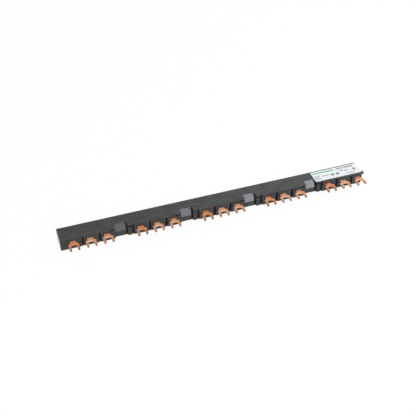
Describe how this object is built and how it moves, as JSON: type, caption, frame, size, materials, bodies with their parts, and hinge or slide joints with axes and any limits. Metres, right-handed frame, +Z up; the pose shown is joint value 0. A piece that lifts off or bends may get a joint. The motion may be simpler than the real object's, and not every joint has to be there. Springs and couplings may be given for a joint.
{
  "type": "three-phase comb busbar",
  "caption": "Black moulded housing, long and flat, with rows of copper forks along the front that join three phases to a line of switches.",
  "frame": {"origin": "middle of the underside of the whole bar, forks included", "axes": "+X along the bar from the first outlet to the label, +Y from the fork tips to the back, +Z up"},
  "size_m": [0.2586, 0.0242, 0.0107],
  "materials": {
    "housing": "satin moulded",
    "copper": "bare copper, cold stamped",
    "insulation": "matt strip",
    "label": "printed film"
  },
  "bodies": {
    "root": {"housing_tray": "housing", "housing_cover": "housing", "left_end_cap": "housing", "right_end_cap": "housing", "conductor_l1": "copper", "conductor_l2": "copper", "conductor_l3": "copper", "upper_strip": "insulation", "lower_strip": "insulation", "rating_label": "label"}
  },
  "joints": []
}
